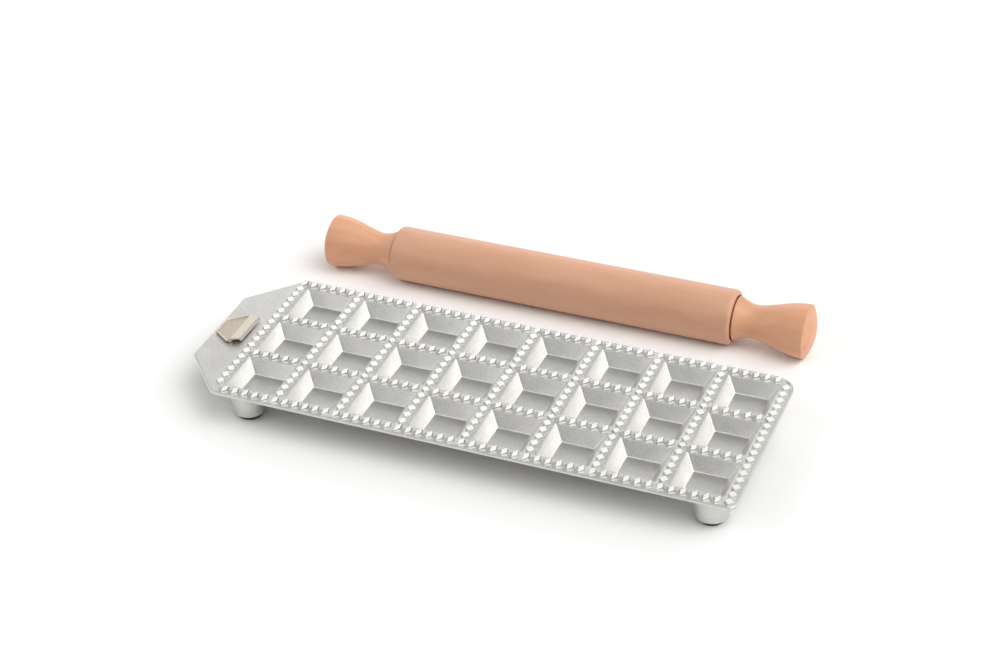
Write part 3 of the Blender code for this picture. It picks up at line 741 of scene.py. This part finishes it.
def rim(work, tablet):
    """The tablet's border: a rounded edge profile carried round the outline.

    Each place on the outline is joined to the nearest corner of the pocket grid, above and
    below.
    """
    sizes = tablet.sizes
    side = tablet.half_y + sizes.margin
    right = tablet.half_x + sizes.margin
    tab_end = PLATE_LOW[0] - tablet.middle[0]
    tab_side = sizes.tab_width / 2
    bevel = -tablet.half_x - sizes.tab_start
    stations_x = np.arange(1, sizes.columns) * sizes.pitch - tablet.half_x
    stations_y = np.arange(1, sizes.rows) * sizes.pitch - tablet.half_y
    border = [((tab_end, -tab_side, sizes.tip_corner), (-tablet.half_x, stations_y[0])),
              ((bevel, -side, sizes.shoulder_corner), (-tablet.half_x, -tablet.half_y))]
    border += [((x, -side, 0), (x, -tablet.half_y)) for x in stations_x]
    border += [((right, -side, sizes.front_corner), (tablet.half_x, -tablet.half_y))]
    border += [((right, y, 0), (tablet.half_x, y)) for y in stations_y]
    border += [((right, side, sizes.back_corner), (tablet.half_x, tablet.half_y))]
    border += [((x, side, 0), (x, tablet.half_y)) for x in stations_x[::-1]]
    border += [((bevel, side, sizes.tip_corner), (-tablet.half_x, tablet.half_y)),
               ((tab_end, tab_side, sizes.tip_corner), (-tablet.half_x, stations_y[-1]))]
    corner_steps = 8
    profile = rounded_path([
        (sizes.margin / 2, tablet.land, 0),
        (0, tablet.land, sizes.top_edge),
        (0, tablet.under, sizes.low_edge),
        (sizes.margin / 2, tablet.under, 0),
    ], steps=6, hold=HOLD)
    rings = outline_rings([corner for corner, _ in border], profile, corner_steps)
    anchors = np.repeat([anchor for _, anchor in border], corner_steps + 1, axis=0)
    above = np.column_stack([anchors, np.full(len(anchors), tablet.land)])
    below = np.column_stack([anchors, np.full(len(anchors), tablet.under)])
    work.add_grid(np.concatenate([above[None], rings, below[None]]), tablet.middle)


def feet(work, tablet):
    """The four round feet: a socket, a rounded base and a tapered wall with a fillet on top.

    The wall's radius grows evenly with height. Close to the casting's underside the fillet
    adds f - sqrt(f^2 - (f - s)^2), where f is its radius and s the distance to go. The top
    follows the underside and lies inside the metal.
    """
    sizes = tablet.sizes
    around_steps, wall_points, cap_steps = 64, 16, 6
    base = PLATE_LOW[2]
    socket_radius = (PAD_HIGH[0] - PAD_LOW[0]) / 2 + sizes.pad_gap
    socket_top = PAD_HIGH[2] + sizes.pad_gap
    start = base + 2 * sizes.foot_edge
    low_path = rounded_path([
        (0, socket_top, 0),
        (socket_radius, socket_top, 0),
        (socket_radius, base, sizes.pad_gap),
        (sizes.foot_base, base, sizes.foot_edge),
        (sizes.foot_base, start, 0),
    ], steps=4, hold=HOLD)
    lower = turned_grid(low_path, around_steps)
    angle = np.linspace(0, math.tau, around_steps, endpoint=False)
    around = np.stack([np.cos(angle), np.sin(angle)], axis=-1)
    full = tablet.under - start
    climb = 1 - (1 - np.linspace(0, 1, wall_points)) ** 2
    cap = np.linspace(1, 0, cap_steps + 1)[1:]
    for place in tablet.foot_places():
        to_pocket = np.sign(tablet.middle - place)[:2]
        from_pocket = -to_pocket * (sizes.pitch / 2 - sizes.foot_inset)
        ceiling = tablet.underside(from_pocket + around * sizes.foot_top)
        height = start + (ceiling - start) * climb[:, None]
        radius = sizes.foot_base + (sizes.foot_top - sizes.foot_base) * (height - start) / full
        to_go = np.clip(sizes.foot_fillet - (ceiling - height), 0, sizes.foot_fillet)
        radius = radius + sizes.foot_fillet - np.sqrt(sizes.foot_fillet ** 2 - to_go ** 2)
        radius = np.concatenate([radius, radius[-1:], radius[-1:] * cap[:, None]])
        inner = from_pocket + around[None] * radius[len(climb):, :, None]
        height = np.concatenate([height, tablet.underside(inner) + 2 * SUNK])
        wall = np.stack([radius * around[:, 0], radius * around[:, 1], height], axis=-1)
        work.add_grid(np.concatenate([lower, wall]), place)


class Ridges:
    """Places of the teeth along the ridges, and flags for the kind that each of them is.

    The tablet has no tooth at its front left and its back right corner.
    """

    def __init__(self, tablet):
        sizes = tablet.sizes
        per_pitch = tablet.teeth.per_pitch
        last_i, last_j = sizes.columns * per_pitch, sizes.rows * per_pitch
        i, j = np.meshgrid(np.arange(last_i + 1), np.arange(last_j + 1), indexing="ij")
        self.spacing = sizes.pitch / per_pitch
        self.places = np.stack([i * self.spacing - tablet.half_x,
                                j * self.spacing - tablet.half_y,
                                np.zeros(i.shape)], axis=-1) + tablet.middle
        on_cross, on_long = i % per_pitch == 0, j % per_pitch == 0
        has_tooth = (i + j > 0) & (i + j < last_i + last_j)
        inside = (i > 0) & (i < last_i) & (j > 0) & (j < last_j)
        self.crossing = on_cross & on_long & inside
        front_right = (i == last_i) & (j == 0)
        between = (j > 0) & (j < last_j)
        self.upright = on_cross & (between | front_right) & ~self.crossing
        self.slanted = on_long & ~self.crossing & ~self.upright & has_tooth
        self.after_slanted = on_long & (i < last_i) & (i % per_pitch < per_pitch - 1)
        self.after_upright = on_cross & (j < last_j)
        self.not_left, self.not_right = i > 0, i < last_i


def teeth(work, tablet, ridges):
    """The flat-topped teeth: diamonds on the cross ridges, slanted ones on the long ridges.

    Small diamonds stand where the ridges cross. Each tooth is a tapered block with a worn edge
    round its ground top. Its root is kept short of the border's rounding.
    """
    shape = tablet.teeth
    right, up = np.array([1.0, 0.0]), np.array([0.0, 1.0])
    side = np.array([shape.slant_side_x, -shape.slant_side_y])
    tip = np.array([shape.slant_tip_x, shape.slant_tip_y])
    slant_draft = np.array([shape.slant_steep, shape.slant_gentle] * 2)
    kinds = ((ridges.crossing, right * shape.crossing, up * shape.crossing, shape.draft),
             (ridges.upright, right * shape.diamond, up * shape.diamond_long, shape.draft),
             (ridges.slanted, side, tip, slant_draft))
    deeper = (shape.height + SUNK) / shape.height
    limit = tablet.sizes.margin - ROOT_INSET
    for chosen, across, along, draft in kinds:
        outline = np.array([across, along, -across, -along])
        rings = ((draft * deeper, tablet.land - SUNK),
                 (shape.chamfer, tablet.top - shape.chamfer),
                 (0.0, tablet.top))
        points, parts = block(outline, rings, LAPPED)
        points[:, :2] = np.clip(points[:, :2], -limit, limit)
        work.add(*copies(points, parts, ridges.places[chosen]))


def facets(work, tablet, ridges):
    """The low cast facets between the teeth, each a narrow groove away from them.

    Behind each slanted tooth's front corner lies a flat triangle, and in front of it a facet
    that falls to the front. Beside the gaps between upright teeth lie low triangular steps that
    point at the ridge's middle line. None of them is ground.
    """
    shape = tablet.teeth
    spacing, groove, border = ridges.spacing, shape.groove, shape.border
    side_x, side_y = shape.slant_side_x, -shape.slant_side_y
    tip_x = shape.slant_tip_x
    behind = np.array([(tip_x + 2 * groove, border),
                       (side_x + 2 * groove, side_y),
                       (spacing + tip_x - 3 * groove, border)])
    before = np.array([(side_x + 2 * groove, side_y),
                       (side_x + 5 * groove, -border),
                       (spacing - tip_x - groove / 2, -border),
                       (spacing - side_x - 1.5 * groove, -side_y + 2 * groove)])
    high = tablet.land + shape.facet_high
    low = tablet.land + shape.facet_low
    fall = np.array([high, low, low, high])

    def rings(height, bevel):
        """A facet's sunk root, the foot of the small bevel round its top, and its top."""
        return (groove / 2, tablet.land - SUNK), (0.0, height - bevel), (-groove / 6, height)

    places = ridges.places[ridges.after_slanted]
    for outline, height in ((behind, high), (before, fall)):
        work.add(*copies(*block(outline, rings(height, SUNK / 4)), places))
    reach = shape.diamond + groove / 4
    step = np.array([(groove, 0), (reach, groove - reach), (reach, reach - groove)])
    step_rings = rings(tablet.land + shape.step, SUNK / 8)
    gap_middle = np.array([0, spacing / 2, 0])
    for outline, chosen in ((step, ridges.not_right), (-step, ridges.not_left)):
        places = ridges.places[ridges.after_upright & chosen] + gap_middle
        work.add(*copies(*block(outline, step_rings), places))


class MESH_OT_mould_casting(Operator):
    """Cast the tablet: its pockets, rim, feet and teeth"""

    bl_idname = "mesh.mould_casting"
    bl_label = "Cast tablet"

    def execute(self, context):
        scene = context.scene
        tablet = Tablet(scene.tablet_sizes, scene.teeth_sizes)
        ridges = Ridges(tablet)
        colours = scene.finish_colours
        work = Patchwork()
        pocket_cells(work, tablet)
        rim(work, tablet)
        feet(work, tablet)
        teeth(work, tablet, ridges)
        facets(work, tablet, ridges)
        work.make("mould_casting", "mould",
                  [cast_aluminium(colours), lapped_aluminium(colours)], "mould_plate")
        return {"FINISHED"}


class MESH_OT_mould_pads(Operator):
    """Finish the rubber pads in the feet"""

    bl_idname = "mesh.mould_pads"
    bl_label = "Foot pads"

    def execute(self, context):
        rubber = black_rubber(context.scene.finish_colours)
        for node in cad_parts:
            if node.startswith("foot_pad"):
                repaint(node, rubber)
        return {"FINISHED"}


def plaque_plate(work, sizes, low, high):
    """The plaque's plate: an edge, rim and panel profile carried round its cut outline.

    Its right side ends under the band, as far past the band's left foot as the profile reaches
    in from the plate's edge.
    """
    steps = 3
    half_y = (high[1] - low[1]) / 2
    middle = np.array([low[0], (low[1] + high[1]) / 2, 0])
    inner = 2 * sizes.rim + sizes.sink
    right = high[0] - low[0] - sizes.band + inner
    cut = half_y - sizes.cut_y
    border = [(0, cut, sizes.soft), (0, -cut, sizes.soft),
              (sizes.cut_x, -half_y, sizes.soft), (right, -half_y, sizes.soft),
              (right, half_y, sizes.soft), (sizes.cut_x, half_y, sizes.soft)]
    top = low[2] + sizes.thickness
    panel = top - sizes.sink
    panel_lean = 0.7 * sizes.sink
    profile = rounded_path([
        (inner, low[2], 0),
        (0, low[2], CRISP),
        (0, top, FINE),
        (sizes.rim, top, CRISP),
        (sizes.rim + panel_lean, panel, FINE),
        (inner, panel, 0),
    ], steps, hold=HOLD / 2)
    rings = outline_rings(border, profile, steps)
    centre = np.zeros((1, rings.shape[1], 3)) + (right / 2, 0, 0)
    grid = np.concatenate([centre + (0, 0, low[2]), rings, centre + (0, 0, panel)])
    height_share = (grid[..., 2] - panel) / sizes.sink
    work.add_grid(grid, middle, wear=np.clip(height_share, 0, 1))


def plaque_band(work, sizes, low, high):
    """The raised band: a folded sheet with a flat top and leaning flanks, open at both ends.

    Its left foot stands in the panel, and its right foot hangs beside the plate. The front end
    is cut aslant, so that it falls back to the right.
    """
    rows, rubbed_and_painted_highlight = 12, 0.9
    left, right = high[0] - sizes.band, high[0]
    panel = low[2] + sizes.thickness - sizes.sink
    hem = low[2] + sizes.soft
    inner_flank = sizes.flank + 0.6 * sizes.sheet
    crown = high[2]
    ceiling = crown - sizes.roof
    soft = sizes.soft
    section = rounded_path([
        (left, panel - sizes.sheet / 2, 0),
        (left + sizes.flank, crown, soft),
        (right - sizes.flank, crown, soft),
        (right, hem, 0),
        (right - sizes.sheet, hem, 0),
        (right - inner_flank, ceiling, soft / 2),
        (left + inner_flank, ceiling, soft / 2),
        (left + sizes.sheet, panel - sizes.sheet / 2, 0),
    ], steps=3, closed=True, hold=HOLD / 2)
    columns = len(section)
    along = np.linspace(0, 1, rows)
    front = low[1] + sizes.band_slant * (section[:, 0] - left) / sizes.band
    grid = np.empty((rows, columns, 3))
    grid[..., 0] = section[:, 0]
    grid[..., 1] = front + (high[1] - front) * along[:, None]
    grid[..., 2] = section[:, 1]
    ends = np.arange(columns) + np.array([[0], [columns * (rows - 1)]])
    work.add(grid.reshape(-1, 3), [(0, grid_faces(rows, columns)), (0, ends)], wear=rubbed_and_painted_highlight)


def plaque_stems(work, sizes, low, high):
    """The two round pins behind the plaque, which go through the tab."""
    root = low[2] + sizes.thickness / 4
    path = rounded_path([
        (0, PLAQUE_LOW[2], 0),
        (sizes.stem, PLAQUE_LOW[2], sizes.stem / 5),
        (sizes.stem, root, 0),
        (0, root, 0),
    ], steps=3)
    middle = np.array([(low[0] + high[0] - sizes.soft) / 2, (low[1] + high[1]) / 2, 0])
    reach = np.array([0, sizes.stem_spacing / 2, 0])
    work.add_grid(turned_grid(path, steps=24), np.array([middle - reach, middle + reach]))


class MESH_OT_mould_plaque(Operator):
    """Make the bare plaque on the tab"""

    bl_idname = "mesh.mould_plaque"
    bl_label = "Plaque"

    def execute(self, context):
        scene = context.scene
        sizes = scene.plaque_sizes
        tablet = Tablet(scene.tablet_sizes, scene.teeth_sizes)
        back = tablet.land + scene.pin_sizes.clearance
        low = np.array([PLAQUE_LOW[0], PLAQUE_LOW[1], back])
        work = Patchwork()
        plaque_plate(work, sizes, low, PLAQUE_HIGH)
        plaque_band(work, sizes, low, PLAQUE_HIGH)
        plaque_stems(work, sizes, low, PLAQUE_HIGH)
        work.make("plaque_bare", "mould",
                  [aged_nickel(scene.finish_colours)], "plaque")
        steel = drawn_steel(scene.finish_colours)
        repaint("plaque_retainer_front", steel)
        repaint("plaque_retainer_back", steel)
        return {"FINISHED"}


def lay_along_pin(grid, side, reach):
    """Lay a piece turned about Z along the pin: its top faces outwards from the middle."""
    x = PIN_AXIS[0] + reach + side * grid[..., 2]
    return np.stack([x, PIN_AXIS[1] + grid[..., 1], PIN_AXIS[2] - side * grid[..., 0]], axis=-1)


class MESH_OT_mould_barrel(Operator):
    """Turn the barrel and finish its rod and bushes"""

    bl_idname = "mesh.mould_barrel"
    bl_label = "Barrel"

    def execute(self, context):
        scene = context.scene
        sizes = scene.pin_sizes
        colours = scene.finish_colours
        end = (BARREL_HIGH[0] - BARREL_LOW[0]) / 2
        radius = (BARREL_HIGH[2] - BARREL_LOW[2]) / 2
        floor = end - sizes.recess_depth
        seat = floor - (BUSH_HIGH[0] - BUSH_LOW[0])
        half = [
            (sizes.bore, seat, 0),
            (sizes.bush_seat, seat, 0),
            (sizes.bush_seat, floor, EASED),
            (sizes.recess_radius, floor, FINE),
            (sizes.recess_radius, end, EASED),
            (radius, end, sizes.barrel_edge),
            (radius, end - 2 * sizes.barrel_edge, 0),
        ]
        mirrored = [(r, -z, rounding) for r, z, rounding in reversed(half)]
        profile = rounded_path(half + mirrored, steps=4, closed=True)
        middle = (BARREL_LOW[0] + BARREL_HIGH[0]) / 2
        grid = turned_grid(profile, sizes.around)
        work = Patchwork()
        work.add_grid(lay_along_pin(grid, 1, middle), wrap_rows=True)
        beech = turned_beech("beech_barrel", colours.barrel, colours.barrel_dark, colours.ray,
                             growth_width=0.009)
        work.make("barrel_turned", "roller", [beech], "barrel")
        repaint("axle_rod", drawn_steel(colours))
        nylon = moulded_nylon(colours)
        repaint("bush_left", nylon)
        repaint("bush_right", nylon)
        return {"FINISHED"}


def handle_profile(sizes):
    """A handle's side from its dome to its bore, as (radius, height above the barrel's end).

    The dome is part of a ball. The grip swells as a power of a sine from the neck to the dome,
    and the flange flares out of the neck along a quarter of a cosine. It stops short of the
    barrel, and a narrower stub goes on into the barrel's recess.
    """
    end_points, grip_points = 24, 48
    height = HANDLE_HIGH[0] - BARREL_HIGH[0]
    inner = HANDLE_LOW[0] - BARREL_HIGH[0]
    end_radius = (HANDLE_HIGH[2] - HANDLE_LOW[2]) / 2
    dome_radius = end_radius - sizes.end_edge
    ball = (dome_radius ** 2 + sizes.dome ** 2) / (2 * sizes.dome)
    out = dome_radius * np.linspace(0, 1, end_points)
    dome = np.stack([out, height - ball + np.sqrt(ball ** 2 - out ** 2)], axis=-1)
    grip_end = height - sizes.dome - sizes.end_edge
    t = np.linspace(1, 0, grip_points)
    swell = np.sin(t * math.pi / 2) ** sizes.swell
    grip = np.stack([sizes.neck_radius + (end_radius - sizes.neck_radius) * swell,
                     sizes.neck_start + (grip_end - sizes.neck_start) * t], axis=-1)
    t = np.linspace(0, 1, end_points)[1:]
    flare = (sizes.flange_radius - sizes.neck_radius) * (1 - np.cos(t * math.pi / 2))
    flange = np.stack([sizes.neck_radius + flare,
                       sizes.neck_start + (sizes.flare_start - sizes.neck_start) * t], axis=-1)
    bore = (ROD_HIGH[2] - ROD_LOW[2]) / 2 + sizes.clearance
    hollow = rounded_path([
        (sizes.flange_radius, sizes.joint_gap + FINE, 0),
        (sizes.flange_radius, sizes.joint_gap, CRISP),
        (sizes.stub_radius, sizes.joint_gap, 0),
        (sizes.stub_radius, inner, EASED),
        (bore, inner, EASED),
        (bore, inner + sizes.socket, 0),
        (0, inner + sizes.socket, 0),
    ], steps=3)
    return np.concatenate([dome, grip, flange, hollow])


class MESH_OT_mould_handles(Operator):
    """Turn the two handles"""

    bl_idname = "mesh.mould_handles"
    bl_label = "Handles"

    def execute(self, context):
        scene = context.scene
        sizes = scene.pin_sizes
        colours = scene.finish_colours
        grid = turned_grid(handle_profile(sizes), sizes.around)
        beech = turned_beech("beech_handles", colours.handle, colours.handle_dark, colours.ray,
                             growth_width=0.006)
        for name, side, reach in (("handle_left", -1, BARREL_LOW[0]),
                                  ("handle_right", 1, BARREL_HIGH[0])):
            work = Patchwork()
            work.add_grid(lay_along_pin(grid, side, reach))
            work.make(name + "_turned", "rolling_pin", [beech], name)
        return {"FINISHED"}


def studio_floor(stage):
    """A sweep of matte paper with 2 mm fibres. It takes the object's soft shadow."""
    mesh = bpy.data.meshes.new("studio_floor")
    reach = stage.floor_reach
    corners = [(-reach, -reach, 0), (reach, -reach, 0), (reach, reach, 0), (-reach, reach, 0)]
    mesh.from_pydata(corners, [], [(0, 1, 2, 3)])
    material, tree, shader, place = new_material("paper_sweep")
    fibre_width = 0.002
    fibre = add_node(tree, "TexNoise", {"Vector": place, "Scale": 1 / fibre_width, "Detail": 3.0})
    tone = add_node(tree, "Mix", {
        "Factor": fibre, FIRST: opaque(stage.paper), SECOND: opaque(stage.paper_fibre)},
        BLEND, data_type="RGBA")
    set_inputs(shader, {"Base Color": tone, "Roughness": 0.9, "Specular IOR Level": 0.0})
    mesh.materials.append(material)
    floor = new_object("studio_floor", mesh)


# The studio's soft lights: where each one's middle stands, as azimuth from +X and elevation in
# degrees, how narrow it is, and its level. The key stands at the right.
SOFT_LIGHTS = (
    (348, 53, 9, 3.8),
    (332, 64, 14, 1.0),
    (33, 26, 14, 1.9),
    (111, 17, 12, 2.2),
    (180, 12, 8, 1.2),
    (219, 37, 15, 1.9),
)
FILL = 0.05


def studio_world(level):
    """Light from all round, with a soft patch for each light; seen directly it is white.

    At an angle a from its middle a patch gives its level times exp(narrowness (cos a - 1)).
    """
    world = bpy.data.worlds.new("studio")
    world.use_nodes = True
    tree = world.node_tree
    direction = add_node(tree, "TexCoord", output="Generated")
    total = FILL
    for azimuth, elevation, narrowness, strength in SOFT_LIGHTS:
        turn, rise = math.radians(azimuth), math.radians(elevation)
        middle = (math.cos(turn) * math.cos(rise), math.sin(turn) * math.cos(rise),
                  math.sin(rise))
        facing = add_node(tree, "VectorMath", {0: direction, 1: middle}, "Value",
                          operation="DOT_PRODUCT")
        power = add_node(tree, "Math", {
            0: facing, 1: float(narrowness), 2: math.log(strength) - narrowness},
            operation="MULTIPLY_ADD")
        patch = add_node(tree, "Math", {0: power}, operation="EXPONENT")
        total = add_node(tree, "Math", {0: patch, 1: total}, operation="ADD")
    lit = add_node(tree, "Math", {0: total, 1: level}, operation="MULTIPLY")
    seen = add_node(tree, "LightPath", output="Is Camera Ray")
    shown = add_node(tree, "Mix", {"Factor": seen, "A": lit, "B": 1.0}, data_type="FLOAT")
    set_inputs(tree.nodes["Background"], {"Strength": shown, "Color": opaque((1, 1, 1))})
    bpy.context.scene.world = world


def studio_camera(stage):
    """The camera at the photograph's angle: turned, raised and leaned as the stage says."""
    azimuth, elevation, roll = stage.azimuth, stage.elevation, stage.roll
    back = Vector((math.sin(azimuth) * math.cos(elevation),
                   -math.cos(azimuth) * math.cos(elevation), math.sin(elevation)))
    right = Vector((math.cos(azimuth), math.sin(azimuth), 0))
    up = back.cross(right)
    turn = Matrix((right, up, back)).transposed() @ Matrix.Rotation(roll, 3, "Z")
    data = bpy.data.cameras.new("studio_camera")
    data.sensor_width = 36.0
    data.lens = stage.lens
    data.clip_start = 0.05
    camera = new_object("studio_camera", data)
    camera.matrix_world = Matrix.Translation(stage.eye) @ turn.to_4x4()
    bpy.context.scene.camera = camera


class SCENE_OT_mould_stage(Operator):
    """Set up the floor, light and camera"""

    bl_idname = "scene.mould_stage"
    bl_label = "Stage"

    def execute(self, context):
        stage = context.scene.stage_settings
        studio_floor(stage)
        studio_world(stage.level)
        studio_camera(stage)
        context.scene.view_settings.view_transform = "Standard"
        return {"FINISHED"}


GROUPS = (
    ("tablet_sizes", TabletSizes),
    ("teeth_sizes", TeethSizes),
    ("plaque_sizes", PlaqueSizes),
    ("pin_sizes", PinSizes),
    ("finish_colours", FinishColours),
    ("stage_settings", StageSettings),
)
OPERATORS = (
    SCENE_OT_mould_stage,
    MESH_OT_mould_casting,
    MESH_OT_mould_pads,
    MESH_OT_mould_plaque,
    MESH_OT_mould_barrel,
    MESH_OT_mould_handles,
)


class VIEW3D_PT_ravioli_mould(Panel):
    """Sizes, colours and buttons of the ravioli mould"""

    bl_idname = "VIEW3D_PT_ravioli_mould"
    bl_label = "Ravioli Mould"
    bl_space_type = "VIEW_3D"
    bl_region_type = "UI"
    bl_category = "Ravioli Mould"

    def draw(self, context):
        for group_name, group in GROUPS:
            section = self.layout.box()
            section.label(text=group.__doc__)
            for value in group.__annotations__:
                section.prop(getattr(context.scene, group_name), value)
        for operator in OPERATORS:
            self.layout.operator(operator.bl_idname)


CLASSES = tuple(group for _, group in GROUPS) + OPERATORS + (VIEW3D_PT_ravioli_mould,)


def register():
    for each in CLASSES:
        bpy.utils.register_class(each)
    for group_name, group in GROUPS:
        setattr(bpy.types.Scene, group_name, PointerProperty(type=group))


def unregister():
    for group_name, _ in GROUPS:
        delattr(bpy.types.Scene, group_name)
    for each in reversed(CLASSES):
        bpy.utils.unregister_class(each)


def main():
    """Build every piece in order."""
    register()
    for operator in OPERATORS:
        family, name = operator.bl_idname.split(".")
        getattr(getattr(bpy.ops, family), name)()


if __name__ == "__main__":
    main()
